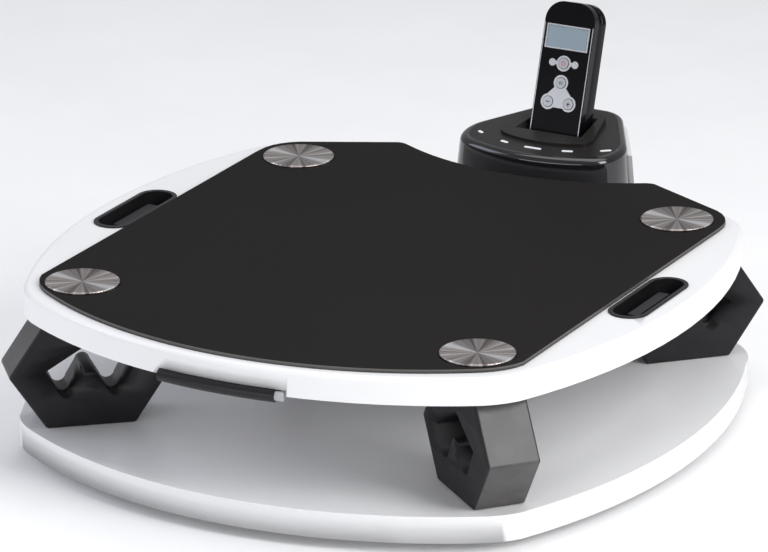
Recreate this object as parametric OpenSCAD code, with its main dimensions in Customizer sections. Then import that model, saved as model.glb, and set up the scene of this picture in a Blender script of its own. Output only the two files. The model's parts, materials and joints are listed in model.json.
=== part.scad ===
// Vibration plate: a white deck on four rubber spring blocks over a white base, with a rear console and a handset.
// X is to the user's right, Y runs from the front edge to the console, Z is up, and the floor is at Z = 0.

/* [Boards] */
// Thickness of the deck and base boards
board_t = 25; // [22:1:28]
// Clear height between the two boards
gap_h = 102; // [95:1:112]
// Half of the deck's width at its widest
deck_half_w = 302; // [300:1:304]
// How far the base stands out past the deck at the sides
base_lip = 6; // [4:1:8]
// Thickness of the standing mat
mat_t = 4; // [3:0.5:5]
// Height of the rubber feet
foot_h = 10; // [6:1:12]

/* [Spring blocks] */
// Distance from the middle to each block's bolts, across
bolt_x = 200; // [196:1:204]
// Distance from the middle to each block's bolts, front to back
bolt_y = 204; // [200:1:208]
// Length of each block along its own extrusion
block_len = 50; // [44:1:56]
// Distance from the block's centre to its side points
block_point = 75; // [72:1:80]
// Half of the block's flat top and bottom
block_flat = 41; // [38:1:46]

/* [Caps and grips] */
// Radius of the spun metal caps
cap_r = 34; // [32:0.5:35]
// Length of the flush grip cups
grip_len = 118; // [110:1:122]
// Width of the flush grip cups
grip_w = 38; // [34:1:40]
// Length of the grip bar under the front edge
front_bar_len = 116; // [100:1:120]

/* [Motor] */
// Outer radius of the motor housing
motor_r = 42; // [38:1:43]
// Radius of the eccentric weights
weight_r = 33; // [28:1:34]

/* [Handset] */
// Width of the handset
handset_w = 53; // [50:0.5:54]
// Length of the handset
handset_len = 158; // [150:1:165]
// Thickness of the handset
handset_t = 26; // [24:0.5:27]
// Lean of the handset in its dock, in degrees
lean = 17.6; // [15:0.2:20]
// Travel of the keys
key_travel = 0.8; // [0.5:0.1:1]

/* [Hidden] */
$fn = 64;

// Heights from the floor
base_z = foot_h;
base_top = base_z + board_t;
deck_z = base_top + gap_h;
deck_top = deck_z + board_t;
mat_top = deck_top + mat_t;
cap_top = mat_top + 2;

// The middle of the four blocks sits forward of the origin, because the console stands behind the deck.
plate_y = -57;
mid_y = 10;
side_r = 560;
front_r = 430;
deck_front = -314;
console_y = 350;
console_z = 176;
tongue_half_w = 104;
tongue_end = 434;

// Points of an arc about c with radius r, from angle a to angle b, in n steps.
function arc(c, r, a, b, n) = [for (i = [0:n]) let (t = a + (b - a) * i / n) [c.x + r * cos(t), c.y + r * sin(t)]];
// Points of a smooth corner from p to q that is pulled towards m, without p itself.
function blend(p, m, q, n) = [for (i = [1:n]) let (t = i / n) (1 - t) ^ 2 * p + 2 * t * (1 - t) * m + t ^ 2 * q];
// Points of a cubic curve from p to q with handles a and b, without p itself.
function curve(p, a, b, q, n) = [for (i = [1:n]) let (t = i / n)
    (1 - t) ^ 3 * p + 3 * t * (1 - t) ^ 2 * a + 3 * t ^ 2 * (1 - t) * b + t ^ 3 * q];
function last(v) = v[len(v) - 1];
function flipped(v) = [for (i = [len(v) - 1:-1:0]) [-v[i].x, v[i].y]];
function mirrored(half) = concat(half, flipped(half));
function inner(half) = [for (i = [0:len(half) - 2]) half[i]];

// Right-hand front and side of a board, from the front middle to the rear side corner.
function board_side(half_w, front, corner_x, corner_y, rear_y) = let (
    a = -90 + asin(corner_x / front_r),
    nose = arc([0, front + front_r], front_r, -90, a, 14),
    c = [half_w - side_r, mid_y],
    side = arc(c, side_r, -asin((mid_y - corner_y) / side_r), asin((rear_y - mid_y) / side_r), 16),
    m = [corner_x + (side[0].x - corner_x) * 0.62, last(nose).y + (side[0].y - last(nose).y) * 0.42]
) concat(nose, blend(last(nose), m, side[0], 5), [for (i = [1:len(side) - 1]) side[i]]);

// The notch that clears the console: the mouth's half width and its depth set the arc.
function notch(mouth, rear, depth) = let (r = (mouth ^ 2 + (rear - depth) ^ 2) / (2 * (rear - depth)),
    a = asin(mouth / r)) arc([0, depth + r], r, -90 + a, -90, 10);

function deck_half() = let (s = board_side(deck_half_w, deck_front, 228, -222, 206), w = notch(126, 291, 253))
    concat(s, blend(last(s), [256, 240], [222, 254], 6), blend([140, 298], [133, 301], w[0], 4), inner([for (i = [1:len(w) - 1]) w[i]]));
function base_half() = let (s = board_side(deck_half_w + base_lip, deck_front - 4, 233, -226, 208))
    concat(s, blend(last(s), [264, 244], [230, 261], 6), blend([128, 318], [tongue_half_w, 332], [tongue_half_w, 356], 5),
        blend([tongue_half_w, 396], [tongue_half_w - 1, tongue_end], [62, tongue_end], 6));
mat_half_w = 244;
mat_r = 385;
mat_front = -304.5;
function mat_half() = let (nose = arc([0, mat_front + mat_r], mat_r, -90, -90 + asin(210 / mat_r), 12), w = notch(124, 286, 252))
    concat(nose, blend(last(nose), [238, -226], [mat_half_w, -202], 5), [[mat_half_w, 202]],
        blend([mat_half_w, 206], [243, 232], [222, 246], 5), blend([140, 288], [133, 292], w[0], 4), inner([for (i = [1:len(w) - 1]) w[i]]));

// Console outline round its own middle: a wide front arc, straight sides that draw in, and a flat back.
console_front_r = 165;
console_nose = 68;
console_back = 75;
function console_half() = let (nose = arc([0, console_front_r - console_nose], console_front_r, -90, -69.4, 8),
    side = [84, -22], waist = [78.5, 0], hip = [47, 58])
    concat(nose, blend(last(nose), [84, -50], side, 6), blend(side, [84, -11], waist, 4), [hip],
        blend(hip, [38, console_back], [18, console_back], 6), [[0, console_back]]);

module at_plate() {
    translate([0, plate_y, 0]) children();
}

module plate(half, z, t) {
    at_plate() translate([0, 0, z]) linear_extrude(t) polygon(mirrored(half));
}

// The bolt line through each of the four blocks.
module at_blocks() {
    for (sx = [-1, 1], sy = [-1, 1]) at_plate() translate([sx * bolt_x, sy * bolt_y, 0]) children();
}

// Flat shape with half-round ends, lying along Y.
module stadium(w, l) {
    square([w, l - w], center = true);
    for (s = [-1, 1]) translate([0, s * (l - w) / 2]) circle(d = w);
}

// ---------- base ----------
foot_spots = [[-215, -155], [215, -155], [-215, 150], [215, 150], [-72, 400], [72, 400]];
bolt_r = 5;
bolt_hole_r = 5.25;
bolt_sink_r = 16;
insert_r = 17;
insert_t = 6;

module base_board() {
    color("white") difference() {
        plate(base_half(), base_z, board_t);
        at_blocks() {
            translate([0, 0, base_z - 1]) cylinder(r = bolt_hole_r, h = board_t + 2);
            translate([0, 0, base_z - 1]) cylinder(r = bolt_sink_r, h = 10);
        }
        for (p = foot_spots) at_plate() translate([p.x, p.y, base_z - 1]) cylinder(r = 1.8, h = 13.5);
        for (s = [-1, 1]) at_bracket_hole(s) translate([0, 0, -14]) cylinder(r = 2.5, h = 15);
    }
}

module base_feet() {
    color([0.12, 0.12, 0.13]) for (p = foot_spots) at_plate() translate([p.x, p.y, 0]) difference() {
        cylinder(r = 20, h = foot_h);
        translate([0, 0, -1]) cylinder(r = 6, h = 5);
        cylinder(r = 2.6, h = foot_h + 1);
    }
}

module base_foot_screws() {
    color("silver") for (p = foot_spots) at_plate() translate([p.x, p.y, 1.5]) {
        cylinder(r = 5, h = 2.5);
        cylinder(r = 1.8, h = foot_h + 11);
    }
}

// ---------- rubber spring blocks ----------
void_point = 41;
void_roof = 29;
valley_x = 22.5;
valley_r = 7;
valley_floor = -23.5;
hump_r = 7;
hump_top = 2.5;

seat_gap = 0.05;

// Upright six-sided section with a peaked hollow whose floor is a W, a hair short of the board above.
module block_section() {
    difference() {
        polygon([[-block_point, 0], [-block_flat, -gap_h / 2], [block_flat, -gap_h / 2],
            [block_point, 0], [block_flat, gap_h / 2 - seat_gap], [-block_flat, gap_h / 2 - seat_gap]]);
        difference() {
            polygon([[-void_point, 4], [-valley_x - valley_r * 0.8, valley_floor + valley_r * 0.5],
                [-valley_x + valley_r * 0.8, valley_floor + valley_r * 0.5], [-hump_r * 0.7, hump_top - 2],
                [hump_r * 0.7, hump_top - 2], [valley_x - valley_r * 0.8, valley_floor + valley_r * 0.5],
                [valley_x + valley_r * 0.8, valley_floor + valley_r * 0.5], [void_point, 4], [0, void_roof]]);
            translate([0, hump_top - hump_r]) circle(r = hump_r);
        }
        for (s = [-1, 1]) translate([s * valley_x, valley_floor + valley_r]) circle(r = valley_r);
    }
}

// Middle of the front and rear blocks, and how far each is turned towards its own corner.
front_block = [201, -198, 40];
rear_block = [203, 208, 45];

module spring_block(sx, sy) {
    b = sy < 0 ? front_block : rear_block;
    color([0.13, 0.13, 0.14]) at_plate() difference() {
        translate([sx * b.x, b.y, base_top + gap_h / 2]) rotate([90, 0, sx * sy * b.z])
            translate([0, 0, -block_len / 2]) linear_extrude(block_len) block_section();
        translate([sx * bolt_x, sy * bolt_y, base_top - 1]) cylinder(r = insert_r, h = insert_t + 1);
        translate([sx * bolt_x, sy * bolt_y, deck_z - insert_t]) cylinder(r = insert_r + 0.3, h = insert_t + 1);
    }
}

module spring_front_left() { spring_block(-1, -1); }
module spring_front_right() { spring_block(1, -1); }
module spring_rear_left() { spring_block(-1, 1); }
module spring_rear_right() { spring_block(1, 1); }

module insert_plate() {
    difference() {
        cylinder(r = insert_r, h = insert_t);
        translate([0, 0, -1]) cylinder(r = bolt_r, h = insert_t + 2);
    }
}

module lower_inserts() {
    color("silver") at_blocks() translate([0, 0, base_top]) insert_plate();
}

module upper_inserts() {
    color("silver") at_blocks() translate([0, 0, deck_z - insert_t]) insert_plate();
}

// Hexagon-headed bolt with its washer, head down at z = 0 and shank up.
module plate_bolt(shank) {
    cylinder(r = 8.5, h = 6.5, $fn = 6);
    translate([0, 0, 6.5]) cylinder(r = 12, h = 2);
    cylinder(r = bolt_r, h = 8.5 + shank);
}

module lower_bolts() {
    color("silver") at_blocks() translate([0, 0, base_z + 0.5]) plate_bolt(board_t - 9 + insert_t);
}

module upper_bolts() {
    color("silver") at_blocks() translate([0, 0, deck_top - 0.5]) mirror([0, 0, 1]) plate_bolt(board_t - 9 + insert_t);
}

// ---------- console ----------
shell_t = 3;
front_flare = 1.17;
rear_flare = 1.24;
rear_middle = 50;
cover_grow = 2;
cover_wide = 1.03;
split_y = 0;
top_t = 4;
top_tilt = 3.4;
spare_h = 14;
rim_w = 7;
rim_h = 7;
ledge_w = 10;
band_h = 12;

// Console outline grown by g all round and stretched across by wide.
function console_points(g, wide = 1) = [for (p = mirrored(inner(console_half())))
    [p.x * wide, p.y] * (1 + g / console_back)];

// Solid console form on the base, wider at the foot by flare about the given middle.
module console_form(flare, g, middle, wide = 1) {
    h = console_z - base_top;
    foot = [for (p = console_points(g, wide)) (p - [0, middle]) * flare];
    narrow = (1 - (flare - 1) * spare_h / h) / flare;
    at_plate() translate([0, console_y + middle, base_top]) linear_extrude(h + spare_h, scale = narrow) polygon(foot);
}

// Frame of the console's top face: it starts at the front edge and rises to the rear.
module on_top() {
    at_plate() translate([0, console_y - console_nose, console_z]) rotate([top_tilt, 0, 0])
        translate([0, console_nose, 0]) children();
}

// Everything above a level below the top face.
module above(drop) {
    on_top() translate([-150, -150, -drop]) cube([300, 300, 60]);
}

module behind_split() {
    at_plate() translate([-150, console_y + split_y, 0]) cube([300, 200, 400]);
}

// Black shell: the whole front, a band that runs on round the back, and a rim with a ledge for the top.
module console_front_shell() {
    color([0.05, 0.05, 0.06]) difference() {
        console_form(front_flare, 0, 0);
        difference() {
            behind_split();
            above(band_h);
        }
        difference() {
            console_form(front_flare, -shell_t, 0);
            above(rim_h);
        }
        on_top() translate([0, 0, -20]) linear_extrude(40) polygon(console_points(-ledge_w));
        on_top() translate([0, 0, -top_t]) linear_extrude(20) polygon(console_points(-rim_w));
        above(0);
    }
}

inlet_x = -22;
inlet_y = 430;
inlet_z = 68;
switch_x = 21;
pad_w = 84;
pad_h = 46;
// White rear half under the band, a little wider than the shell, so that it has a front flange and a shoulder.
// A flat pad at the back takes the mains inlet and the switch.
module console_rear_cover() {
    color([0.93, 0.93, 0.93]) difference() {
        union() {
            intersection() {
                console_form(rear_flare, cover_grow, rear_middle, cover_wide);
                behind_split();
            }
            at_plate() translate([-pad_w / 2, console_y + 40, inlet_z - pad_h / 2])
                cube([pad_w, inlet_y - console_y - 40, pad_h]);
        }
        difference() {
            console_form(rear_flare, cover_grow - shell_t, rear_middle, cover_wide);
            at_plate() translate([-150, console_y - 100 + shell_t, 0]) cube([300, 100, 300]);
            above(band_h + shell_t);
        }
        console_form(1, -2 * shell_t, 0);
        above(band_h);
        at_plate() translate([-pad_w / 2, inlet_y, inlet_z - pad_h / 2]) cube([pad_w, 20, pad_h]);
        at_plate() translate([inlet_x - 13.6, console_y + 30, inlet_z - 10.1]) cube([27.2, 60, 20.2]);
        at_plate() translate([switch_x - 9.6, console_y + 30, inlet_z - 12.6]) cube([19.2, 60, 25.2]);
    }
}

module at_bracket_hole(s) {
    at_plate() translate([s * 40, console_y - 5, base_top]) children();
}

// Steel tray that ties the console to the base tongue.
bracket_t = 3;
tray_w = 112;
module console_bracket() {
    color("silver") difference() {
        at_plate() translate([-tray_w / 2, console_y - 20, base_top]) union() {
            cube([tray_w, 62, bracket_t]);
            cube([bracket_t, 62, 40]);
            translate([tray_w - bracket_t, 0, 0]) cube([bracket_t, 62, 40]);
        }
        for (s = [-1, 1]) at_bracket_hole(s) translate([0, 0, -1]) cylinder(r = 2.5, h = bracket_t + 2);
    }
}

module console_screws() {
    color("silver") for (s = [-1, 1]) at_bracket_hole(s) translate([0, 0, -14]) {
        cylinder(r = 2.5, h = 14 + bracket_t);
        translate([0, 0, 14 + bracket_t]) cylinder(r = 5, h = 3);
    }
}

// ---------- handset frame: local X across, local Y into the back, local Z up its length ----------
handset_y = 341.2;
handset_z = 148.5;
module in_handset() {
    at_plate() translate([0, handset_y, handset_z]) rotate([-lean, 0, 0]) children();
}

// Upright slab of a flat shape between two depths in the handset frame.
module slab(y0, y1) {
    translate([0, y1, 0]) rotate([90, 0, 0]) linear_extrude(y1 - y0) children();
}

top_corner = 19;
foot_corner = 5;
function handset_points(g) = let (w = handset_w / 2 - g, h = handset_len - g, r = top_corner - g, f = foot_corner - g)
    concat(arc([w - f, g + f], f, -90, 0, 6), arc([w - r, h - r], r, 0, 90, 12),
        arc([r - w, h - r], r, 90, 180, 12), arc([f - w, g + f], f, 180, 270, 6));
module handset_shape(g) {
    polygon(handset_points(g));
}

pocket_gap = 0.8;
pocket_wall = 2.5;
module dock_pocket(g, top) {
    in_handset() translate([-handset_w / 2 - g, -g, -g]) cube([handset_w + 2 * g, handset_t + 2 * g, top]);
}

module console_top() {
    color([0.16, 0.15, 0.15]) difference() {
        on_top() translate([0, 0, -top_t]) linear_extrude(top_t) polygon(console_points(-rim_w - 0.2));
        mouth(8, -top_t - 1, top_t + 2, 1);
        indicator_cut(0.15, -top_t - 1, top_t + 2);
    }
}

// Four-sided funnel shape of the dock's mouth, grown by g, from height z up by h and wider at the top by flare.
mouth_y = 10;
module mouth(g, z, h, flare) {
    on_top() translate([0, mouth_y, z]) linear_extrude(h, scale = flare)
        polygon([[-28.5 - g, -18 - g], [28.5 + g, -18 - g], [24 + g, 20 + g], [-24 - g, 20 + g]]);
}

collar_low = 2.6;
collar_rise = 2;
collar_front = 35;
lip_r = 106;
mouth_depth = 12;
mouth_wall = 2;
// Collar outline: a front lip on nearly the same centre as the light windows, drawn in towards the back.
function collar_half() = let (nose = arc([0, lip_r - collar_front], lip_r, -90, -69, 6))
    concat(nose, blend(last(nose), [49, -23], [48, -12], 4), blend([36.5, 38], [35, 47], [26, 47.5], 4), [[0, 47.5]]);

// Collar with a low front lip, round the open mouth and the closed pocket that the handset stands in.
module dock_collar() {
    color([0.09, 0.09, 0.1]) difference() {
        union() {
            on_top() difference() {
                linear_extrude(30) polygon(mirrored(inner(collar_half())));
                translate([-80, -collar_front, collar_low]) rotate([collar_rise, 0, 0]) translate([0, -60, 0])
                    cube([160, 200, 60]);
            }
            mouth(mouth_wall, -mouth_depth - mouth_wall, mouth_depth + mouth_wall + 0.5, 1.18);
            difference() {
                dock_pocket(pocket_gap + pocket_wall, 90);
                above(-0.5);
            }
        }
        mouth(0, -mouth_depth, mouth_depth + 10, 1.33);
        dock_pocket(pocket_gap, 140);
    }
}

// Light windows in a row along the console's front, each as its angle from the middle and its length.
window_row = [[-32, 7], [-15, 9], [0.5, 18], [17, 11], [34.5, 11]];
window_w = 3.4;
row_r = 120.5;
row_y = 73;
module at_window(m) {
    on_top() translate([0, row_y, 0]) rotate([0, 0, m[0]]) translate([0, -row_r, 0]) children();
}

module indicator_cut(g, z, h) {
    for (m = window_row) at_window(m) translate([0, 0, z]) linear_extrude(h) rotate(90) stadium(window_w + 2 * g, m[1] + 2 * g);
}

module indicator_windows() {
    color([0.85, 0.87, 0.9]) indicator_cut(0, -3, 3.4);
}

board_drop = 9;
module indicator_board() {
    color([0.1, 0.35, 0.2]) union() {
        on_top() translate([0, row_y, -board_drop]) rotate([0, 0, -126])
            rotate_extrude(angle = 72) translate([row_r - 6, 0]) square([8, 1.6]);
        for (m = window_row) at_window(m) translate([0, 0, 1.6 - board_drop]) cylinder(r = 1.5, h = 3.2);
    }
}

// Mains board that stands in the tray, with its transformer and relay.
module control_board() {
    color([0.1, 0.35, 0.2]) at_plate() translate([-45, console_y - 18, base_top + bracket_t]) union() {
        cube([90, 1.6, 60]);
        translate([7, 1.6, 12]) cube([40, 17, 40]);
        translate([56, 1.6, 16]) cube([26, 16, 22]);
    }
}

module start_capacitor() {
    color([0.85, 0.85, 0.87]) at_plate() translate([30, console_y + 24, base_top + bracket_t]) union() {
        cylinder(r = 17, h = 58);
        for (s = [-1, 1]) translate([s * 7, 0, 58]) cylinder(r = 2, h = 7);
    }
}

module mains_inlet() {
    color([0.07, 0.07, 0.08]) difference() {
        at_plate() translate([inlet_x - 13.5, inlet_y - 24, inlet_z - 10]) union() {
            cube([27, 24, 20]);
            translate([-3, 24, -3]) cube([33, 2.5, 26]);
        }
        at_plate() translate([inlet_x - 12, inlet_y - 16, inlet_z - 8.2]) cube([24, 20, 16.4]);
        for (p = pin_spots) at_plate() translate([inlet_x + p.x - 1, inlet_y - 30, inlet_z + p.y - 2]) cube([2, 30, 4]);
    }
}

pin_spots = [[-7, 0], [7, 0], [0, 4]];
module inlet_pins() {
    color("silver") for (p = pin_spots) at_plate()
        translate([inlet_x + p.x - 1, inlet_y - 30, inlet_z + p.y - 2]) cube([2, 27, 4]);
}

// The rocker turns on two stub pins in the side walls of its frame.
pin_r = 1.2;
rocker_y = inlet_y - 1.5;
module at_rocker() {
    at_plate() translate([switch_x, rocker_y, inlet_z]) children();
}

module switch_frame() {
    color([0.07, 0.07, 0.08]) difference() {
        union() {
            at_plate() translate([switch_x - 9.5, inlet_y - 18, inlet_z - 12.5]) cube([19, 18, 25]);
            at_plate() translate([switch_x - 11.5, inlet_y, inlet_z - 14.5]) cube([23, 2.5, 29]);
        }
        at_plate() translate([switch_x - 7.5, inlet_y - 12, inlet_z - 10.5]) cube([15, 20, 21]);
        at_rocker() translate([-8.6, 0, 0]) rotate([0, 90, 0]) cylinder(r = pin_r + 0.05, h = 17.2);
    }
}

rocker_tilt = 8;
module power_rocker() {
    color([0.75, 0.05, 0.05]) at_rocker() union() {
        rotate([rocker_tilt, 0, 0]) difference() {
            translate([-7, -5, -9]) cube([14, 8, 18]);
            translate([-8, 14.5, 0]) rotate([0, 90, 0]) cylinder(r = 13, h = 16);
        }
        translate([-8.4, 0, 0]) rotate([0, 90, 0]) cylinder(r = pin_r, h = 16.8);
    }
}

// ---------- deck ----------
grip_x = 265.5;
grip_y = 5.5;
cup_wall = 2;
module at_grip(s) {
    at_plate() translate([s * grip_x, grip_y, 0]) mirror([s < 0 ? 1 : 0, 0, 0]) children();
}

bar_r = 6;
bar_ring = 429;
bar_c = 116;
bar_rise = -0.5;
bar_back = 14;
bar_start = -8;
bar_end = bar_start + front_bar_len / bar_ring * 180 / PI;
plug_len = 8;

// Ring sector about the front edge's own centre, between two angles from straight ahead.
module front_sector(from, to) {
    at_plate() translate([0, bar_c, deck_z + bar_rise]) rotate([0, 0, from - 90])
        rotate_extrude(angle = to - from, $fn = 720) children();
}

module deck_board() {
    color("white") difference() {
        plate(deck_half(), deck_z, board_t);
        at_blocks() {
            translate([0, 0, deck_z - 1]) cylinder(r = bolt_hole_r, h = board_t + 2);
            translate([0, 0, deck_top - 9]) cylinder(r = bolt_sink_r, h = 10);
        }
        for (s = [-1, 1]) at_grip(s) translate([0, 0, deck_top - cup_depth]) linear_extrude(cup_depth + 1)
            stadium(grip_w - 4, grip_len - 4);
        front_sector(bar_start - 0.15, bar_end + 1.4) translate([bar_ring - bar_back - 0.3, -10])
            square([40, bar_r + 10.3]);
        for (s = [-1, 1]) at_bar_screw(s) translate([0, 0, -1]) cylinder(r = 2, h = 18);
        for (p = motor_bolt_spots) at_plate() translate([p.x, p.y, deck_z - 1]) cylinder(r = 3, h = 17);
        for (s = [-1, 1], t = [-1, 1]) at_grip(s) translate([0, t * grip_screw_y, deck_top - cup_depth - 2])
            cylinder(r = 2, h = 4);
    }
}

module standing_mat() {
    color([0.13, 0.125, 0.12]) difference() {
        plate(mat_half(), deck_top, mat_t);
        at_blocks() translate([0, 0, deck_top - 1]) cylinder(r = cap_r + 0.4, h = mat_t + 2);
    }
}

// Spun cap: a shallow dish with a rolled rim, open underneath over the bolt head.
module metal_caps() {
    color([0.75, 0.75, 0.77]) at_blocks() translate([0, 0, deck_top]) difference() {
        rotate_extrude() polygon([[0, 0], [cap_r, 0], [cap_r, cap_top - deck_top - 1.2],
            [cap_r - 1.2, cap_top - deck_top], [0, cap_top - deck_top - 0.6]]);
        translate([0, 0, -1]) cylinder(r = cap_r - 2, h = 1 + 3.5);
    }
}

grip_screw_y = 50;
grip_floor = 2.5;
cup_depth = 21;
island_w = 11;
island_len = 66;
// Cup with a rolled flange and a deep finger pocket round a lengthwise bar.
module grip_cup(s) {
    color([0.08, 0.08, 0.09]) at_grip(s) difference() {
        union() {
            translate([0, 0, deck_top]) linear_extrude(1.6) stadium(grip_w, grip_len);
            translate([0, 0, deck_top - cup_depth]) linear_extrude(cup_depth) stadium(grip_w - 4.6, grip_len - 4.6);
        }
        difference() {
            translate([0, 0, deck_top - cup_depth + grip_floor]) linear_extrude(cup_depth + 3)
                stadium(grip_w - 4.6 - 2 * cup_wall, grip_len - 4.6 - 2 * cup_wall);
            translate([-island_w / 2, -island_len / 2, deck_top - cup_depth]) cube([island_w, island_len, cup_depth - 5]);
        }
        for (t = [-1, 1]) translate([0, t * grip_screw_y, deck_top - cup_depth - 1]) cylinder(r = 2, h = 6);
    }
}
module grip_cup_left() { grip_cup(-1); }
module grip_cup_right() { grip_cup(1); }

module grip_screws() {
    color("silver") for (s = [-1, 1], t = [-1, 1]) at_grip(s) translate([0, t * grip_screw_y, deck_top - cup_depth - 2]) {
        cylinder(r = 2, h = 2 + grip_floor);
        translate([0, 0, 2 + grip_floor]) cylinder(r = 3.6, h = 2);
    }
}

front_screw_x = 45;
plug_r = 4.4;
plug_bore_r = 3;
module at_bar_screw(s) {
    at_plate() translate([s * front_screw_x, -304, deck_z]) children();
}

module at_bar_end() {
    at_plate() translate([0, bar_c, deck_z + bar_rise]) rotate([0, 0, bar_end]) translate([0, -bar_ring, 0])
        rotate([0, 90, 0]) children();
}

// Bowed, round-nosed bar with a flat back that lies in a rebate under the deck's front edge.
module front_grip_bar() {
    color([0.08, 0.08, 0.09]) difference() {
        front_sector(bar_start, bar_end) union() {
            translate([bar_ring, 0]) circle(r = bar_r);
            translate([bar_ring - bar_back, -bar_r]) square([bar_back, 2 * bar_r]);
        }
        at_bar_end() translate([0, 0, -12]) cylinder(r = plug_bore_r, h = 13);
        for (s = [-1, 1]) at_bar_screw(s) translate([0, 0, -12]) {
            cylinder(r = 2, h = 20);
            cylinder(r = 4, h = 7.5);
        }
    }
}

module front_grip_plug() {
    color([0.55, 0.55, 0.57]) at_bar_end() union() {
        translate([0, 0, -9]) cylinder(r = plug_bore_r, h = 9);
        cylinder(r = plug_r, h = plug_len);
    }
}

module front_grip_screws() {
    color("silver") for (s = [-1, 1]) at_bar_screw(s) translate([0, 0, -6]) {
        cylinder(r = 3.8, h = 1.5);
        cylinder(r = 2, h = 22);
    }
}

// ---------- motor ----------
motor_y = 20;
plate_t = 4;
plate_len = 190;
plate_w = 104;
housing_len = 104;
bell_t = 14;
shaft_r = 7.5;
shaft_fit = 0.04;
bearing_r = 17.5;
bearing_t = 11;
bearing_in = 2;
weight_t = 16;
cover_len = 26;
motor_z = deck_z - plate_t - motor_r - 3;
motor_bolt_spots = [for (x = [-86, 86], y = [-42, 42]) [x, motor_y + y]];

// Puts a shape on the motor's axis, which lies along X, starting at x.
module on_axis(x) {
    at_plate() translate([x, motor_y, motor_z]) rotate([0, 90, 0]) children();
}

module motor_mount_plate() {
    color([0.55, 0.56, 0.58]) difference() {
        at_plate() translate([-plate_len / 2, motor_y - plate_w / 2, deck_z - plate_t]) cube([plate_len, plate_w, plate_t]);
        for (p = motor_bolt_spots) at_plate() translate([p.x, p.y, deck_z - plate_t - 1]) cylinder(r = 3.3, h = plate_t + 2);
    }
}

module motor_bolts() {
    color("silver") for (p = motor_bolt_spots) at_plate() translate([p.x, p.y, deck_z - plate_t - 5]) {
        cylinder(r = 5.8, h = 5, $fn = 6);
        cylinder(r = 3, h = 20);
    }
}

module motor_housing() {
    color([0.6, 0.61, 0.63]) difference() {
        union() {
            on_axis(-housing_len / 2) cylinder(r = motor_r, h = housing_len);
            for (x = [-44, 32]) at_plate() translate([x, motor_y - 32, motor_z]) cube([12, 64, deck_z - plate_t - motor_z]);
        }
        on_axis(-housing_len / 2 - 1) cylinder(r = motor_r - 4, h = housing_len + 2);
    }
}

module end_bell(s) {
    color([0.6, 0.61, 0.63]) mirror([s < 0 ? 1 : 0, 0, 0]) difference() {
        on_axis(housing_len / 2) cylinder(r = motor_r, h = bell_t);
        on_axis(housing_len / 2 - 1) cylinder(r = bearing_r, h = 1 + bearing_in + bearing_t);
        on_axis(housing_len / 2 - 1) cylinder(r = shaft_r + 2, h = bell_t + 2);
    }
}
module end_bell_left() { end_bell(-1); }
module end_bell_right() { end_bell(1); }

module stator_core() {
    color([0.5, 0.5, 0.52]) difference() {
        on_axis(-30) cylinder(r = motor_r - 4, h = 60);
        on_axis(-31) cylinder(r = 22.6, h = 62);
    }
}

module stator_windings() {
    color([0.72, 0.4, 0.2]) for (x = [-42, 30]) difference() {
        on_axis(x) cylinder(r = motor_r - 7, h = 12);
        on_axis(x - 1) cylinder(r = 25, h = 14);
    }
}

module motor_bearings() {
    color([0.8, 0.8, 0.82]) for (s = [-1, 1]) mirror([s < 0 ? 1 : 0, 0, 0]) difference() {
        on_axis(housing_len / 2 + bearing_in) cylinder(r = bearing_r, h = bearing_t);
        on_axis(housing_len / 2 + bearing_in - 1) cylinder(r = shaft_r + shaft_fit, h = bearing_t + 2);
    }
}

module weight_cover(s) {
    color([0.3, 0.31, 0.33]) mirror([s < 0 ? 1 : 0, 0, 0]) difference() {
        on_axis(housing_len / 2 + bell_t) cylinder(r = motor_r - 2, h = cover_len);
        on_axis(housing_len / 2 + bell_t - 1) cylinder(r = motor_r - 4, h = cover_len - 1);
    }
}
module weight_cover_left() { weight_cover(-1); }
module weight_cover_right() { weight_cover(1); }

module rotor_shaft() {
    color([0.7, 0.7, 0.72]) on_axis(-housing_len / 2 - bell_t - weight_t - 3)
        cylinder(r = shaft_r, h = housing_len + 2 * (bell_t + weight_t + 3));
}

module rotor_core() {
    color([0.45, 0.45, 0.47]) difference() {
        on_axis(-30) cylinder(r = 22, h = 60);
        on_axis(-31) cylinder(r = shaft_r, h = 62);
    }
}

module eccentric_weights() {
    color([0.35, 0.36, 0.38]) for (s = [-1, 1]) mirror([s < 0 ? 1 : 0, 0, 0]) difference() {
        on_axis(housing_len / 2 + bell_t + 2) union() {
            difference() {
                cylinder(r = weight_r, h = weight_t);
                translate([-weight_r * 2, -weight_r, -1]) cube([weight_r * 2, weight_r * 2, weight_t + 2]);
            }
            cylinder(r = shaft_r + 5, h = weight_t);
        }
        on_axis(housing_len / 2 + bell_t) cylinder(r = shaft_r, h = weight_t + 4);
    }
}

// ---------- handset ----------
wall = 1.8;
front_t = 10;
screen_w = 42.5;
screen_h = 20.5;
screen_z = 123.5;
frame_w = 1.5;
key_r = 5;
key_gap = 0.35;
ring_r = 7.6;
start_z = 98.5;
mode_z = 79.7;
pair_z = 60.4;
pair_x = 10.9;
key_spots = [[0, start_z], [0, mode_z], [-pair_x, pair_z], [pair_x, pair_z]];

module handset_front() {
    color([0.05, 0.05, 0.06]) in_handset() difference() {
        slab(0, front_t) handset_shape(0);
        slab(wall, front_t + 1) handset_shape(wall);
        translate([-screen_w / 2, -1, screen_z - screen_h / 2]) cube([screen_w, 5, screen_h]);
        for (p = key_spots) translate([p.x, 4, p.y]) rotate([90, 0, 0]) cylinder(r = key_r + key_gap, h = 6);
    }
}

bay_w = 30;
bay_z0 = 60;
bay_z1 = 118;
module handset_back() {
    color([0.06, 0.06, 0.07]) in_handset() difference() {
        slab(front_t, handset_t) handset_shape(0);
        slab(front_t - 1, handset_t - wall) handset_shape(wall);
        translate([-bay_w / 2, handset_t - 5, bay_z0]) cube([bay_w, 10, bay_z1 - bay_z0]);
    }
}

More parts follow.
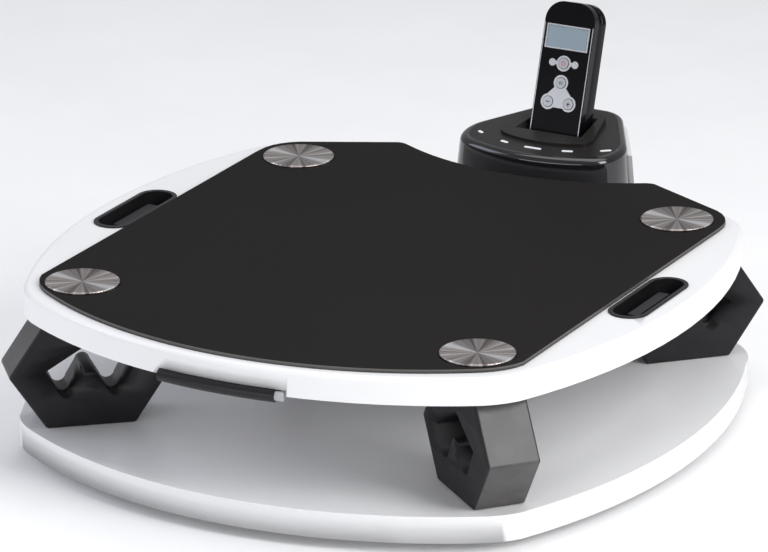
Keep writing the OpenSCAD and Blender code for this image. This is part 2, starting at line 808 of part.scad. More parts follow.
// Bright strips let into the two long edges of the face.
module handset_trim() {
    color([0.75, 0.75, 0.78]) in_handset() for (s = [-1, 1])
        translate([s * (handset_w / 2 - 1) - 0.4, -0.4, 12]) cube([0.8, 0.4, handset_len - 34]);
}

module display_frame() {
    color([0.7, 0.7, 0.74]) in_handset() difference() {
        translate([-screen_w / 2 - frame_w, -0.8, screen_z - screen_h / 2 - frame_w])
            cube([screen_w + 2 * frame_w, 0.8, screen_h + 2 * frame_w]);
        translate([-screen_w / 2, -2, screen_z - screen_h / 2]) cube([screen_w, 4, screen_h]);
    }
}

module display_window() {
    color([0.55, 0.62, 0.68]) in_handset() translate([-screen_w / 2 + 0.1, -0.3, screen_z - screen_h / 2 + 0.1])
        cube([screen_w - 0.2, 3, screen_h - 0.2]);
}

lobe_r = 3.6;
lobe_x = 12;
module key_surrounds() {
    color([0.65, 0.65, 0.7]) in_handset() slab(-0.8, 0) difference() {
        union() {
            translate([0, start_z]) circle(r = ring_r);
            for (s = [-1, 1]) translate([s * lobe_x, start_z]) circle(r = lobe_r);
            translate([-lobe_x, start_z - 1.8]) square([2 * lobe_x, 3.6]);
            translate([0, mode_z]) circle(r = ring_r);
            for (s = [-1, 1]) translate([s * pair_x, pair_z]) circle(r = ring_r);
            polygon([[-5.4, mode_z - 4], [5.4, mode_z - 4], [pair_x + 3, pair_z + 6], [pair_x - 4, pair_z - 5],
                [4 - pair_x, pair_z - 5], [-pair_x - 3, pair_z + 6]]);
        }
        for (p = key_spots) translate(p) circle(r = key_r + 0.6);
    }
}

module handset_board() {
    color([0.1, 0.35, 0.2]) in_handset() {
        translate([-20, 6.5, 30]) cube([40, 1.6, 112]);
        translate([-19, 3, screen_z - 9]) cube([38, 3.5, 18]);
        for (p = key_spots) translate([p.x, 6.5, p.y]) rotate([90, 0, 0]) cylinder(r = 3, h = 1.6);
    }
}

cell_r = 5.2;
module handset_cells() {
    color([0.2, 0.3, 0.6]) in_handset() for (s = [-1, 1]) translate([s * 6, 15.6, 64]) {
        cylinder(r = cell_r, h = 44);
        cylinder(r = 2, h = 45);
    }
}

cover_w = 34;
cover_z0 = 58;
cover_z1 = 120;
lug_z = [64, 100];
module battery_cover() {
    color([0.07, 0.07, 0.08]) in_handset() {
        translate([-cover_w / 2, handset_t + 0.05, cover_z0]) cube([cover_w, 1.6, cover_z1 - cover_z0]);
        for (z = lug_z) translate([-bay_w / 2 + 0.5, handset_t - 1.5, z]) cube([bay_w - 1, 2, 6]);
    }
}

module key(p) {
    in_handset() translate([p.x, 0, p.y]) rotate([-90, 0, 0]) {
        translate([0, 0, -1.6]) cylinder(r = key_r, h = 3.8);
        translate([0, 0, 2.2]) cylinder(r = key_r + 1, h = 0.8);
        translate([0, 0, 3]) cylinder(r = 1.5, h = 0.9);
    }
}
module key_start() { color([0.8, 0.82, 0.85]) key(key_spots[0]); }
module key_mode() { color([0.7, 0.7, 0.75]) key(key_spots[1]); }
module key_minus() { color([0.7, 0.7, 0.75]) key(key_spots[2]); }
module key_plus() { color([0.7, 0.7, 0.75]) key(key_spots[3]); }

base_board();
base_feet();
base_foot_screws();
spring_front_left();
spring_front_right();
spring_rear_left();
spring_rear_right();
lower_inserts();
lower_bolts();
console_bracket();
console_front_shell();
console_rear_cover();
console_top();
dock_collar();
indicator_windows();
indicator_board();
control_board();
start_capacitor();
mains_inlet();
inlet_pins();
switch_frame();
power_rocker();
console_screws();
deck_board();
standing_mat();
metal_caps();
upper_inserts();
upper_bolts();
grip_cup_left();
grip_cup_right();
grip_screws();
front_grip_bar();
front_grip_plug();
front_grip_screws();
motor_mount_plate();
motor_bolts();
motor_housing();
end_bell_left();
end_bell_right();
stator_core();
stator_windings();
motor_bearings();
weight_cover_left();
weight_cover_right();
rotor_shaft();
rotor_core();
eccentric_weights();
handset_front();
handset_back();
handset_trim();
display_frame();
display_window();
key_surrounds();
handset_board();
handset_cells();
battery_cover();
key_start();
key_mode();
key_minus();
key_plus();
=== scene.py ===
import json
import math

import bmesh
import bpy
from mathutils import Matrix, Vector

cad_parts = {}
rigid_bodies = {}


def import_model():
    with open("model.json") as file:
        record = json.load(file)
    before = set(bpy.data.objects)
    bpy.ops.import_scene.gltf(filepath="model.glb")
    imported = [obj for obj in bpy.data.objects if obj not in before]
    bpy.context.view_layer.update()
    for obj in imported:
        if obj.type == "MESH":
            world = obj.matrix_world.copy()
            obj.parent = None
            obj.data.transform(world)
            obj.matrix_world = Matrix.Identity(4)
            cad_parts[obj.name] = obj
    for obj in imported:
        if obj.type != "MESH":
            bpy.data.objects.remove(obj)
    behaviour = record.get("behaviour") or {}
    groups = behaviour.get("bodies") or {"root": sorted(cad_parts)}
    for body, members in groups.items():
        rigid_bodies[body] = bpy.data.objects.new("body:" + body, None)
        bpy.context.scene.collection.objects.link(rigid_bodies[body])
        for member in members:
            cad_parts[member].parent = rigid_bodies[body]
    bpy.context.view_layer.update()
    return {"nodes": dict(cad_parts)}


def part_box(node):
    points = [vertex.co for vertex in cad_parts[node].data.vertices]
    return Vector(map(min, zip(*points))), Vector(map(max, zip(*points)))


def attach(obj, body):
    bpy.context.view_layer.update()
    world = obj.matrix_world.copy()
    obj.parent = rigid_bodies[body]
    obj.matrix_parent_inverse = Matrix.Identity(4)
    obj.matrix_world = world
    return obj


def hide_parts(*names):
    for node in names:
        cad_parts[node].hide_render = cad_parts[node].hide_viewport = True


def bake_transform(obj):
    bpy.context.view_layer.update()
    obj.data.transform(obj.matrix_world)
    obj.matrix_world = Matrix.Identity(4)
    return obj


for old in list(bpy.data.objects):
    bpy.data.objects.remove(old)
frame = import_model()


# ---------- base board ----------
# The floor board is 25 mm of dense board, cut to a rounded shield with a tongue for the console.
# It is sprayed white and flatted between coats, so its skin has a faint orange peel and soft edges.

MM = 0.001
TOUCHING = 0.1 * MM


def node_group(name, inputs, outputs):
    tree = bpy.data.node_groups.new(name, "ShaderNodeTree")
    for label, kind, value in inputs:
        socket = tree.interface.new_socket(label, in_out="INPUT", socket_type=kind)
        socket.default_value = value
    for label, kind in outputs:
        tree.interface.new_socket(label, in_out="OUTPUT", socket_type=kind)
    return tree, tree.nodes.new("NodeGroupInput"), tree.nodes.new("NodeGroupOutput")


# Skin of a painted, moulded or rubber surface: a fine grain in relief and a broad drift of tone.
skin_group, skin_in, skin_out = node_group(
    "surface_skin",
    [("Grain", "NodeSocketFloat", 400.0), ("Relief", "NodeSocketFloat", 0.00002),
     ("Drift", "NodeSocketFloat", 8.0)],
    [("Broad", "NodeSocketFloat"), ("Normal", "NodeSocketVector")])
place = skin_group.nodes.new("ShaderNodeTexCoord")
fine = skin_group.nodes.new("ShaderNodeTexNoise")
fine.inputs["Detail"].default_value = 4
broad = skin_group.nodes.new("ShaderNodeTexNoise")
broad.inputs["Detail"].default_value = 3
broad.inputs["Roughness"].default_value = 0.6
relief = skin_group.nodes.new("ShaderNodeBump")
relief.inputs["Strength"].default_value = 0.9
tie = skin_group.links.new
for noise in (fine, broad):
    tie(place.outputs["Object"], noise.inputs["Vector"])
tie(skin_in.outputs["Grain"], fine.inputs["Scale"])
tie(skin_in.outputs["Drift"], broad.inputs["Scale"])
tie(fine.outputs["Fac"], relief.inputs["Height"])
tie(skin_in.outputs["Relief"], relief.inputs["Distance"])
tie(broad.outputs["Fac"], skin_out.inputs["Broad"])
tie(relief.outputs["Normal"], skin_out.inputs["Normal"])


def finish(name, low, high, rough, grain, relief_mm, drift=8.0, **sockets):
    """A surface whose tone drifts from low to high and whose roughness runs over the rough pair.

    grain is the fineness of its relief, relief_mm the depth, and drift the fineness of the tone.
    """
    made = bpy.data.materials.new(name)
    made.use_nodes = True
    nodes, link = made.node_tree.nodes, made.node_tree.links.new
    shader = nodes["Principled BSDF"]
    skin = nodes.new("ShaderNodeGroup")
    skin.node_tree = skin_group
    skin.inputs["Grain"].default_value = grain
    skin.inputs["Relief"].default_value = relief_mm * MM
    skin.inputs["Drift"].default_value = drift
    tone = nodes.new("ShaderNodeMix")
    tone.data_type = "RGBA"
    tone.inputs[6].default_value = (*low, 1)
    tone.inputs[7].default_value = (*high, 1)
    spread = nodes.new("ShaderNodeMapRange")
    spread.inputs["From Min"].default_value = 0.3
    spread.inputs["From Max"].default_value = 0.7
    link(skin.outputs["Broad"], spread.inputs["Value"])
    link(spread.outputs["Result"], tone.inputs[0])
    link(tone.outputs[2], shader.inputs["Base Color"])
    gloss = nodes.new("ShaderNodeMapRange")
    gloss.inputs["To Min"].default_value, gloss.inputs["To Max"].default_value = rough
    link(spread.outputs["Result"], gloss.inputs["Value"])
    link(gloss.outputs["Result"], shader.inputs["Roughness"])
    link(skin.outputs["Normal"], shader.inputs["Normal"])
    for socket, value in sockets.items():
        shader.inputs[socket.replace("_", " ")].default_value = value
    return made


def dress(made, *nodes):
    """Gives CAD nodes a finish and leaves their shape alone."""
    for node in nodes:
        for entry in frame["nodes"][node].material_slots:
            entry.material = made


def new_piece(name, mesh_data, made, smooth=True):
    """A new object from a bmesh, with normals that follow its large faces."""
    mesh = bpy.data.meshes.new(name)
    bmesh.ops.recalc_face_normals(mesh_data, faces=mesh_data.faces)
    mesh_data.to_mesh(mesh)
    mesh_data.free()
    mesh.polygons.foreach_set("use_smooth", [smooth] * len(mesh.polygons))
    obj = bpy.data.objects.new(name, mesh)
    bpy.context.scene.collection.objects.link(obj)
    level = obj.modifiers.new("level", "WEIGHTED_NORMAL")
    level.weight = 90
    mesh.materials.append(made)
    return obj


def anywhere(point):
    return True


def on_hull(node, least=0.0004):
    """Picks the edges where two outside planes of a CAD node meet, each over least square metres."""
    mesh = frame["nodes"][node].data
    planes = {}
    for face in mesh.polygons:
        distance = face.normal.dot(face.center)
        key = tuple(round(value, 3) for value in (*face.normal, distance * 10))
        total, _, _ = planes.get(key, (0, None, None))
        planes[key] = (total + face.area, face.normal.copy(), distance)
    sides = [(normal, distance) for area, normal, distance in planes.values()
             if area > least and all(normal.dot(vert.co) < distance + TOUCHING / 2 for vert in mesh.vertices)]
    return lambda point: sum(abs(normal.dot(point) - distance) < TOUCHING for normal, distance in sides) > 1


def eased(node, name, made, *rounds, sharp=28):
    """A copy of a CAD node with the edges that each (radius in mm, test) picks rounded over."""
    form = bmesh.new()
    form.from_mesh(frame["nodes"][node].data)
    bmesh.ops.remove_doubles(form, verts=form.verts, dist=0.002 * MM)
    bmesh.ops.dissolve_limit(form, angle_limit=math.radians(0.6), verts=form.verts, edges=form.edges)
    for radius, chosen in rounds:
        edges = [e for e in form.edges if len(e.link_faces) == 2
                 and e.calc_face_angle(0) > math.radians(sharp)
                 and chosen((e.verts[0].co + e.verts[1].co) / 2)]
        bmesh.ops.bevel(form, geom=edges, offset=radius * MM, segments=4, profile=0.5, affect="EDGES",
                        clamp_overlap=True, miter_outer="ARC")
    obj = new_piece(name, form, made)
    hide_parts(node)
    return obj


deck_low, deck_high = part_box("deck_board")
base_low, base_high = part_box("base_board")
cap_low, cap_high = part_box("metal_caps")
cap_r = 34 * MM
caps = [(x, y) for x in (cap_low.x + cap_r, cap_high.x - cap_r)
        for y in (cap_low.y + cap_r, cap_high.y - cap_r)]


bolt_clear_r = 18 * MM


def clear_of_bolts(point):
    return all(math.hypot(point.x - x, point.y - y) > bolt_clear_r for x, y in caps)


def on_base_rim(point):
    return clear_of_bolts(point) and abs(point.z - base_high.z) < TOUCHING


outer_flank_x = 0.25


def under_base_rim(point):
    return abs(point.z - base_low.z) < TOUCHING and abs(point.x) > outer_flank_x


white_lacquer = finish("white_lacquer", (0.84, 0.84, 0.845), (0.87, 0.87, 0.875), (0.3, 0.38), 220, 0.004,
                       drift=4.0, Coat_Weight=0.25, Coat_Roughness=0.15)
base = eased("base_board", "base_board_lacquered", white_lacquer, (5, on_base_rim), (2.5, under_base_rim))
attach(base, "base")


# ---------- deck board ----------
# The standing deck is the same board and lacquer as the base, with a notch at the back for the console.
# Its long edges are routed round above and below, where hands and feet meet them.

grip_low, grip_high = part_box("grip_cup_right")
cup_reach_x = 20 * MM


def on_deck_rim(point):
    beside_cup = abs(abs(point.x) - (grip_low.x + grip_high.x) / 2) < cup_reach_x
    at_cup = beside_cup and grip_low.y - 1 * MM < point.y < grip_high.y + 1 * MM
    return clear_of_bolts(point) and not at_cup and abs(point.z - deck_high.z) < TOUCHING


bar_low, bar_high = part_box("front_grip_bar")
bar_gap_left, bar_gap_right, bar_gap_back = 6 * MM, 16 * MM, 4 * MM
inner_half_x, inner_half_y = 0.215, 0.235


def under_deck_rim(point):
    along_bar = bar_low.x - bar_gap_left < point.x < bar_high.x + bar_gap_right
    at_bar = along_bar and point.y < bar_high.y + bar_gap_back
    from_middle_y = abs(point.y - (deck_low.y + deck_high.y) / 2)
    outside = abs(point.x) > inner_half_x or from_middle_y > inner_half_y
    return abs(point.z - deck_low.z) < TOUCHING and outside and not at_bar


deck = eased("deck_board", "deck_board_lacquered", white_lacquer, (5, on_deck_rim), (3, under_deck_rim))
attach(deck, "deck")


# ---------- standing mat ----------
# A 4 mm sheet of dense black foam with a fine non-slip grain is die-cut and stuck to the deck.
# The cut shows as a grey edge all round.

mat_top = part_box("standing_mat")[1].z
mat_black = finish("mat_black", (0.0105, 0.0092, 0.0085), (0.015, 0.0135, 0.0128), (0.62, 0.74), 1800, 0.06,
                   drift=3.0, Specular_IOR_Level=0.08)
mat_cut = finish("mat_cut_edge", (0.1, 0.095, 0.09), (0.14, 0.135, 0.13), (0.6, 0.8), 900, 0.05)


def on_mat_top(point):
    return abs(point.z - mat_top) < TOUCHING


mat = eased("standing_mat", "standing_mat_sheet", mat_black, (0.5, on_mat_top))
mat.data.materials.append(mat_cut)
for face in mat.data.polygons:
    if abs(face.normal.z) < 0.3:
        face.material_index = 1
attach(mat, "deck")


# ---------- metal caps ----------
# Four spun aluminium discs hide the bolts that hold the deck to its springs. They are turned on a lathe,
# so fine rings run round each face and the light fans out from its middle. These rays of light are also painted
# into the base colour as painted highlights and painted reflection.

ray_group, ray_in, ray_out = node_group(
    "painted_highlight_rays",
    [("Spokes", "NodeSocketFloat", 1.5), ("Rings", "NodeSocketFloat", 2600.0)],
    [("Ray", "NodeSocketFloat"), ("Normal", "NodeSocketVector")])
add = ray_group.nodes.new
tie = ray_group.links.new
place = add("ShaderNodeTexCoord")
flat = add("ShaderNodeVectorMath")
flat.operation = "MULTIPLY"
flat.inputs[1].default_value = (1, 1, 0)
aim = add("ShaderNodeVectorMath")
aim.operation = "NORMALIZE"
split = add("ShaderNodeSeparateXYZ")
tie(place.outputs["Object"], flat.inputs[0])
tie(flat.outputs["Vector"], aim.inputs[0])
tie(aim.outputs["Vector"], split.inputs[0])


def arithmetic(operation, first, second):
    node = add("ShaderNodeMath")
    node.operation = operation
    for socket, value in zip(node.inputs, (first, second)):
        if isinstance(value, (int, float)):
            socket.default_value = value
        else:
            tie(value, socket)
    return node.outputs[0]


# Doubling the angle makes each ray meet its twin on the other side of the middle.
across, along = split.outputs["X"], split.outputs["Y"]
twice_x = arithmetic("SUBTRACT", arithmetic("MULTIPLY", across, across), arithmetic("MULTIPLY", along, along))
twice_y = arithmetic("MULTIPLY", arithmetic("MULTIPLY", across, along), 2)
join = add("ShaderNodeCombineXYZ")
tie(twice_x, join.inputs["X"])
tie(twice_y, join.inputs["Y"])
spokes = add("ShaderNodeTexNoise")
spokes.inputs["Detail"].default_value = 5
spokes.inputs["Roughness"].default_value = 0.6
tie(join.outputs[0], spokes.inputs["Vector"])
tie(ray_in.outputs["Spokes"], spokes.inputs["Scale"])
reach = add("ShaderNodeVectorMath")
reach.operation = "LENGTH"
tie(flat.outputs["Vector"], reach.inputs[0])
rings = add("ShaderNodeTexNoise")
rings.noise_dimensions = "1D"
rings.inputs["Detail"].default_value = 2
tie(reach.outputs["Value"], rings.inputs["W"])
tie(ray_in.outputs["Rings"], rings.inputs["Scale"])
groove = add("ShaderNodeBump")
groove.inputs["Strength"].default_value = 0.35
groove.inputs["Distance"].default_value = 0.00002
tie(rings.outputs["Fac"], groove.inputs["Height"])
tie(spokes.outputs["Fac"], ray_out.inputs["Ray"])
tie(groove.outputs["Normal"], ray_out.inputs["Normal"])

spun = bpy.data.materials.new("spun_aluminium")
spun.use_nodes = True
nodes, link = spun.node_tree.nodes, spun.node_tree.links.new
shader = nodes["Principled BSDF"]
shader.inputs["Metallic"].default_value = 1
shader.inputs["Anisotropic"].default_value = 0.75
rays = nodes.new("ShaderNodeGroup")
rays.node_tree = ray_group
# Painted reflection: the rays set the base colour, running from dark brown painted reflection to white painted
# highlight streaks.
ramp = nodes.new("ShaderNodeValToRGB")
ramp.color_ramp.elements[0].position = 0.38
ramp.color_ramp.elements[0].color = (0.16, 0.13, 0.12, 1)
ramp.color_ramp.elements[1].position = 0.64
ramp.color_ramp.elements[1].color = (1, 1, 1, 1)
step = ramp.color_ramp.elements.new(0.53)
step.color = (0.55, 0.5, 0.48, 1)
turned = nodes.new("ShaderNodeTangent")
turned.direction_type = "RADIAL"
turned.axis = "Z"
gloss = nodes.new("ShaderNodeMapRange")
gloss.inputs["To Min"].default_value = 0.36
gloss.inputs["To Max"].default_value = 0.2
link(rays.outputs["Ray"], ramp.inputs["Fac"])
link(ramp.outputs["Color"], shader.inputs["Base Color"])
link(rays.outputs["Ray"], gloss.inputs["Value"])
link(gloss.outputs["Result"], shader.inputs["Roughness"])
link(rays.outputs["Normal"], shader.inputs["Normal"])
link(turned.outputs["Tangent"], shader.inputs["Tangent"])


def lathe(name, profile, made, turns=96, at=(0, 0, 0)):
    """A turned piece from (radius, height) points in mm, about an upright axis."""
    form = bmesh.new()
    spun_rows = []
    for radius, height in profile:
        if radius < 1e-6:
            spun_rows.append([form.verts.new((0, 0, height * MM))])
            continue
        spun_rows.append([form.verts.new((radius * MM * math.cos(2 * math.pi * k / turns),
                                          radius * MM * math.sin(2 * math.pi * k / turns), height * MM))
                          for k in range(turns)])
    for row, following in zip(spun_rows, spun_rows[1:]):
        for k in range(turns):
            nxt = (k + 1) % turns
            ring = [row[k % len(row)], row[nxt % len(row)],
                    following[nxt % len(following)], following[k % len(following)]]
            form.faces.new(list(dict.fromkeys(ring)))
    obj = new_piece(name, form, made)
    obj.location = at
    return obj


# The face dips to its middle, a bead stands round it, and the wall turns down to an open underside.
cap_rise = (cap_high.z - cap_low.z) / MM
cap_profile = [(0, cap_rise - 0.9), (4, cap_rise - 0.85), (16, cap_rise - 0.6), (27, cap_rise - 0.35),
               (31.4, cap_rise - 0.25), (32, cap_rise - 0.02), (32.8, cap_rise), (33.5, cap_rise - 0.2),
               (33.9, cap_rise - 0.7), (34, cap_rise - 1.4), (34, 0.2), (32.6, 0.2), (32.4, cap_rise - 1.6),
               (0, cap_rise - 2.3)]
for count, (x, y) in enumerate(caps):
    cap = lathe(f"metal_cap_{count + 1}", cap_profile, spun, at=(x, y, cap_low.z))
    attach(cap, "deck")
    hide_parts("metal_caps")


# ---------- rubber springs ----------
# Each spring is one block of black rubber, moulded with a W-floored hollow so that it gives as it is pressed.
# Steel plates bonded in its top and bottom take the bolts. Its outer flanks get a lighter grey copy of the
# rubber, a painted sheen where they catch the light.

spring_rubber = finish("spring_rubber", (0.006, 0.006, 0.0075), (0.014, 0.013, 0.015), (0.4, 0.52), 260, 0.03,
                       drift=26.0, Specular_IOR_Level=0.3)
# Painted sheen: a lighter grey copy of the rubber for the outer flanks, standing in for the light they catch.
spring_painted_sheen = finish("spring_painted_sheen", (0.03, 0.028, 0.029), (0.09, 0.085, 0.086), (0.36, 0.52), 260, 0.03,
                      drift=30.0, Specular_IOR_Level=0.55)
sheen_from = 52 * MM


def slice_level(form, count):
    """Cuts a mesh at even heights, so that it can be squeezed smoothly."""
    heights = [vert.co.z for vert in form.verts]
    low, high = min(heights), max(heights)
    for k in range(1, count):
        everything = list(form.verts) + list(form.edges) + list(form.faces)
        bmesh.ops.bisect_plane(form, geom=everything, dist=1e-7, plane_no=(0, 0, 1),
                               plane_co=(0, 0, low + (high - low) * k / count))


for node in ("spring_front_left", "spring_front_right", "spring_rear_left", "spring_rear_right"):
    block = eased(node, node + "_block", spring_rubber, (2.6, on_hull(node)))
    form = bmesh.new()
    form.from_mesh(block.data)
    slice_level(form, 8)
    form.to_mesh(block.data)
    form.free()
    block.data.materials.append(spring_painted_sheen)
    hollow_axis = max(((face.area, face.normal.copy()) for face in frame["nodes"][node].data.polygons
                       if abs(face.normal.z) < 0.01), key=lambda pair: pair[0])[1]
    block_low, block_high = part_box(node)
    heart = (block_low + block_high) / 2
    # The outer flank faces, away from the hollow's axis, take the painted sheen material.
    for face in block.data.polygons:
        on_side = abs(face.normal.dot(hollow_axis)) < 0.3 and abs(face.normal.z) < 0.9
        face.material_index = int(on_side and (face.center - heart).cross(hollow_axis).length > sheen_from)
    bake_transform(block)


# ---------- bolts, plates and feet ----------
# Zinc-plated bolts run up through the base and down through the deck into the springs' steel plates.
# Rubber feet are screwed under the base board.

zinc = finish("zinc_plate", (0.5, 0.51, 0.53), (0.64, 0.64, 0.62), (0.28, 0.42), 500, 0.02,
              drift=60, Metallic=1.0)
foot_rubber = finish("foot_rubber", (0.02, 0.02, 0.021), (0.035, 0.035, 0.036), (0.65, 0.8), 700, 0.15)
dress(zinc, "lower_bolts", "upper_bolts", "lower_inserts", "upper_inserts", "base_foot_screws", "grip_screws",
      "front_grip_screws", "motor_bolts", "console_screws", "console_bracket")
feet = eased("base_feet", "base_feet_moulded", foot_rubber, (1.2, anywhere))
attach(feet, "base")


# ---------- grips ----------
# Moulded black cups are let into the deck on each side, with a bar down the middle to hook the fingers round.
# A round-nosed bar is screwed into a rebate under the front edge, with a grey plug in its right end.

bar_nose_r = 2.5


def at_bar_end(point):
    return min(abs(point.x - bar_low.x), abs(point.x - bar_high.x)) < bar_nose_r * MM


grip_black = finish("grip_black", (0.008, 0.008, 0.009), (0.013, 0.013, 0.014), (0.3, 0.4), 1400, 0.02,
                    Specular_IOR_Level=0.3)
for node in ("grip_cup_left", "grip_cup_right"):
    cup = eased(node, node + "_moulded", grip_black, (1.1, anywhere))
    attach(cup, "deck")
bar = eased("front_grip_bar", "front_grip_bar_moulded", grip_black, (bar_nose_r, at_bar_end), sharp=60)
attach(bar, "deck")
plug_grey = finish("plug_grey", (0.32, 0.33, 0.34), (0.45, 0.46, 0.47), (0.3, 0.4), 600, 0.03)
plug = eased("front_grip_plug", "front_grip_plug_moulded", plug_grey, (1.4, anywhere))
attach(plug, "deck")


# ---------- console ----------
# A two-part moulding stands on the tongue: a piano-black front that wraps round to a white rear cover.
# A satin panel is let into its top, and its edge is a soft, polished roll.

console_black = finish("console_black", (0.0045, 0.004, 0.0055), (0.007, 0.006, 0.008), (0.1, 0.16), 90, 0.002,
                       Coat_Weight=0.5, Coat_Roughness=0.05)
white_gloss = finish("white_gloss", (0.82, 0.82, 0.82), (0.86, 0.86, 0.86), (0.15, 0.22), 100, 0.004)
panel_satin = finish("panel_satin", (0.012, 0.0105, 0.0095), (0.017, 0.0155, 0.0145), (0.3, 0.4), 1600, 0.01,
                     Specular_IOR_Level=0.25)
panel_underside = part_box("console_top")[0].z
on_shell_hull = on_hull("console_front_shell", 0.00005)


def on_rolled_rim(point):
    return on_shell_hull(point) and point.z > panel_underside


for node, made, slot, rounds in (
        ("console_front_shell", console_black, "piano_black", [(5.5, on_rolled_rim)]),
        ("console_rear_cover", white_gloss, "white_gloss", [(0.8, anywhere)]),
        ("console_top", panel_satin, "console_satin", [(0.4, anywhere)]),
        ("dock_collar", panel_satin, "piano_black", [(0.9, anywhere)])):
    obj = eased(node, node + "_moulded", made, *rounds)
    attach(obj, "base")
window_glow = finish("window_glow", (0.75, 0.77, 0.8), (0.85, 0.86, 0.88), (0.25, 0.35), 400, 0.01)
windows = eased("indicator_windows", "indicator_windows_moulded", window_glow, (0.3, anywhere))
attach(windows, "base")
board_green = finish("board_green", (0.01, 0.1, 0.04), (0.02, 0.15, 0.06), (0.3, 0.45), 900, 0.05, drift=120)
dress(board_green, "indicator_board", "control_board", "handset_board")
can_metal = finish("can_metal", (0.6, 0.6, 0.62), (0.75, 0.75, 0.76), (0.25, 0.4), 300, 0.02, Metallic=1.0)
dress(can_metal, "start_capacitor")


# ---------- mains inlet and switch ----------
# A black moulded inlet and a rocker switch in its frame sit in a flat pad at the back of the console.
# The inlet's three pins are brass, and the rocker is glossy red plastic that tips on two stub pins.

dress(grip_black, "mains_inlet", "switch_frame")
pin_metal = finish("pin_metal", (0.6, 0.5, 0.3), (0.72, 0.6, 0.38), (0.2, 0.3), 300, 0.01, Metallic=1.0)
dress(pin_metal, "inlet_pins")
rocker_red = finish("rocker_red", (0.35, 0.012, 0.012), (0.45, 0.02, 0.018), (0.15, 0.22), 400, 0.01)
rocker = eased("power_rocker", "power_rocker_moulded", rocker_red, (0.6, anywhere))
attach(rocker, "rocker")


# ---------- motor ----------
# A cast induction motor hangs from a steel plate that is bolted under the deck. Its ground shaft runs in two
# bearings and has an eccentric weight on each end, under a powder-coated cover.

cast_skin = finish("cast_skin", (0.3, 0.31, 0.32), (0.42, 0.43, 0.44), (0.4, 0.6), 700, 0.15,
                   drift=30, Metallic=0.8)
dress(cast_skin, "motor_housing", "end_bell_left", "end_bell_right")
powder_black = finish("powder_black", (0.02, 0.02, 0.021), (0.035, 0.035, 0.036), (0.4, 0.55), 900, 0.12)
dress(powder_black, "motor_mount_plate", "weight_cover_left", "weight_cover_right")
lamination = finish("lamination", (0.2, 0.2, 0.21), (0.32, 0.32, 0.33), (0.35, 0.5), 1500, 0.05, Metallic=1.0)
dress(lamination, "stator_core", "rotor_core", "eccentric_weights")
copper = finish("copper", (0.45, 0.14, 0.05), (0.6, 0.22, 0.08), (0.25, 0.4), 1200, 0.2, Metallic=1.0)
dress(copper, "stator_windings")
ground_steel = finish("ground_steel", (0.6, 0.6, 0.62), (0.7, 0.7, 0.72), (0.12, 0.22), 900, 0.01, Metallic=1.0)
dress(ground_steel, "motor_bearings", "rotor_shaft")


# ---------- handset ----------
# The handset is two piano-black shells with a display, four keys in silver surrounds and bright side strips.
# The marks on its keys are pad-printed. It stands loose in the dock and lifts out along its lean.

handset_black = finish("handset_black", (0.003, 0.003, 0.004), (0.005, 0.005, 0.006), (0.12, 0.18), 120, 0.002,
                       Specular_IOR_Level=0.12)
lean = math.radians(17.6)
outward = Vector((0, -math.cos(lean), math.sin(lean)))
lengthwise = Vector((0, math.sin(lean), math.cos(lean)))
back_depth = min(vert.co.dot(outward) for vert in frame["nodes"]["handset_back"].data.vertices)
back_flank_x = 18 * MM


def on_back_rim(point):
    return point.dot(outward) - back_depth < TOUCHING and abs(point.x) > back_flank_x


for node, rounds in (("handset_front", [(1.2, anywhere)]), ("handset_back", [(5, on_back_rim)])):
    shell = eased(node, node + "_moulded", handset_black, *rounds)
    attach(shell, "handset")
silver = finish("silver_trim", (0.5, 0.51, 0.54), (0.62, 0.63, 0.66), (0.22, 0.32), 900, 0.01, Metallic=0.85)
dress(silver, "handset_trim", "display_frame", "key_surrounds")
display = finish("display_glass", (0.22, 0.29, 0.34), (0.3, 0.37, 0.42), (0.08, 0.14), 300, 0.005,
                 Coat_Weight=0.8, Coat_Roughness=0.05)
dress(display, "display_window")
dress(handset_black, "battery_cover")
key_silver = finish("key_silver", (0.42, 0.44, 0.48), (0.52, 0.54, 0.58), (0.15, 0.25), 600, 0.01, Metallic=0.5)
dress(key_silver, "key_start", "key_mode", "key_minus", "key_plus")
cell_blue = finish("cell_blue", (0.02, 0.04, 0.2), (0.03, 0.06, 0.3), (0.25, 0.35), 300, 0.01)
dress(cell_blue, "handset_cells")

# The print is sunk a little way into the key, so that it has no gap under it.
print_sunk, print_proud = -0.1, 0.08
mark_dark = finish("mark_dark", (0.01, 0.01, 0.012), (0.02, 0.02, 0.022), (0.4, 0.5), 800, 0.002)
mark_red = finish("mark_red", (0.5, 0.02, 0.02), (0.6, 0.03, 0.03), (0.4, 0.5), 800, 0.002)


def key_mark(key, made, strokes):
    """Pad-printed mark on a key from round-ended strokes: (length, width, turn in degrees, x, z) in mm."""
    verts = [vert.co for vert in frame["nodes"][key].data.vertices]
    top = max(vert.dot(outward) for vert in verts)
    face = [vert for vert in verts if top - vert.dot(outward) < 0.05 * MM]
    centre = sum(face, Vector()) / len(face)
    form = bmesh.new()
    for length, width, turn, x, z in strokes:
        turn = math.radians(turn)
        ring = []
        for end in (1, -1):
            for k in range(7):
                swing = math.pi * (k / 6 - 0.5)
                flat_x = end * ((length - width) / 2 + width / 2 * math.cos(swing))
                flat_z = end * width / 2 * math.sin(swing)
                ring.append((x + flat_x * math.cos(turn) - flat_z * math.sin(turn),
                             z + flat_x * math.sin(turn) + flat_z * math.cos(turn)))
        rows = [[form.verts.new(centre + Vector((px * MM, 0, 0)) + lengthwise * pz * MM + outward * lift * MM)
                 for px, pz in ring] for lift in (print_sunk, print_proud)]
        form.faces.new(rows[1])
        form.faces.new(rows[0][::-1])
        for k in range(len(ring)):
            nxt = (k + 1) % len(ring)
            form.faces.new((rows[0][k], rows[0][nxt], rows[1][nxt], rows[1][k]))
    obj = new_piece(key + "_mark", form, made, smooth=False)
    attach(obj, key.replace("key_", "") + "_key")
    return obj


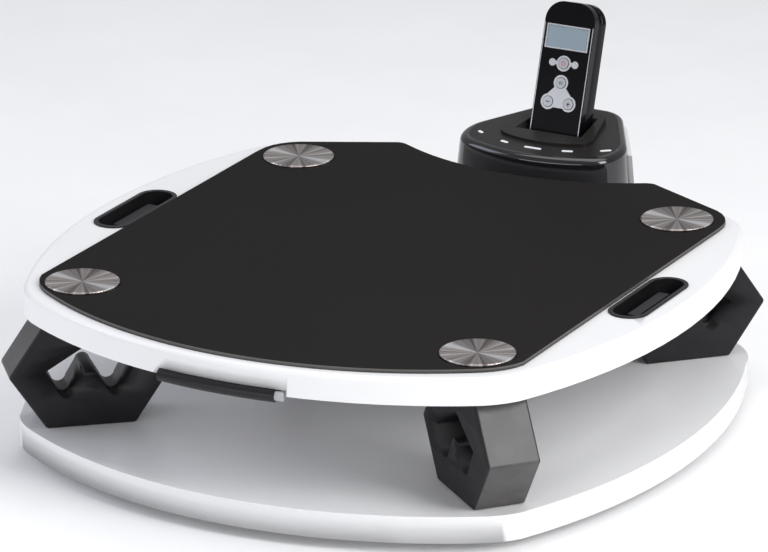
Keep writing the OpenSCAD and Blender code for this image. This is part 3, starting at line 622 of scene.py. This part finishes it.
arc_r = 2
power_arc = [(1.5, 0.6, turn + 90, arc_r * math.cos(math.radians(turn)), arc_r * math.sin(math.radians(turn)))
             for turn in range(135, 406, 30)]
key_mark("key_start", mark_red, power_arc + [(2.4, 0.6, 90, 0, 1.7)])
key_mark("key_mode", mark_dark, [(2.6, 0.6, 45, -0.9, 0.8), (2.6, 0.6, -45, -0.9, -0.8),
                                 (2.6, 0.6, 45, 1.2, 0.8), (2.6, 0.6, -45, 1.2, -0.8)])
key_mark("key_minus", mark_dark, [(4.2, 0.9, 0, 0, 0)])
key_mark("key_plus", mark_dark, [(4.2, 0.9, 0, 0, 0), (4.2, 0.9, 90, 0, 0)])


# ---------- studio ----------
# A plain pale floor runs out level under the machine. A soft overhead box, two side boxes and a low fill
# light it, and a long lens looks down on it from the front right.

floor_form = bmesh.new()
bmesh.ops.create_grid(floor_form, x_segments=8, y_segments=8, size=14)
floor_pale = finish("floor_pale", (0.93, 0.93, 0.93), (0.95, 0.95, 0.95), (0.8, 0.9), 30, 0.002)
floor = new_piece("studio_floor", floor_form, floor_pale)


def soft_box(name, place_at, aim_at, size, power, tint=(1, 1, 1)):
    lamp = bpy.data.lights.new(name, "AREA")
    lamp.shape = "RECTANGLE"
    lamp.size, lamp.size_y = size
    lamp.energy = power
    lamp.color = tint
    box = bpy.data.objects.new(name, lamp)
    box.location = place_at
    box.rotation_euler = (Vector(aim_at) - Vector(place_at)).to_track_quat("-Z", "Y").to_euler()
    bpy.context.scene.collection.objects.link(box)


soft_box("overhead_box", (0.1, 0.3, 2.6), (0, 0, 0.1), (2.6, 1.8), 27)
soft_box("right_box", (2.1, -0.5, 1.5), (0, 0, 0.1), (1.0, 1.6), 40)
soft_box("left_box", (-2.1, -0.9, 1.4), (0, 0, 0.1), (1.2, 1.4), 14, (0.8, 0.83, 1))
soft_box("low_fill", (-0.3, -2.6, 0.5), (0, 0, 0.05), (2.2, 0.7), 11)

world = bpy.data.worlds.new("studio_air")
world.use_nodes = True
world.node_tree.nodes["Background"].inputs["Color"].default_value = (0.95, 0.96, 1, 1)
world.node_tree.nodes["Background"].inputs["Strength"].default_value = 0.42
bpy.context.scene.world = world
bpy.context.scene.view_settings.view_transform = "Standard"

azimuth, elevation = math.radians(27.8), math.radians(19.4)
distance = 5.662
drop = 0.025
away = Vector((math.sin(azimuth) * math.cos(elevation), -math.cos(azimuth) * math.cos(elevation),
               math.sin(elevation)))
rightward = Vector((math.cos(azimuth), math.sin(azimuth), 0))
upward = rightward.cross(-away)
target = Vector((0, (cap_low.y + cap_high.y) / 2, cap_high.z))
lens = bpy.data.cameras.new("studio_camera")
lens.lens = 290
lens.sensor_width = 36
lens.clip_end = 60
camera = bpy.data.objects.new("studio_camera", lens)
camera.location = target + away * distance - upward * drop
camera.rotation_euler = (-away).to_track_quat("-Z", "Y").to_euler()
bpy.context.scene.collection.objects.link(camera)
bpy.context.scene.camera = camera
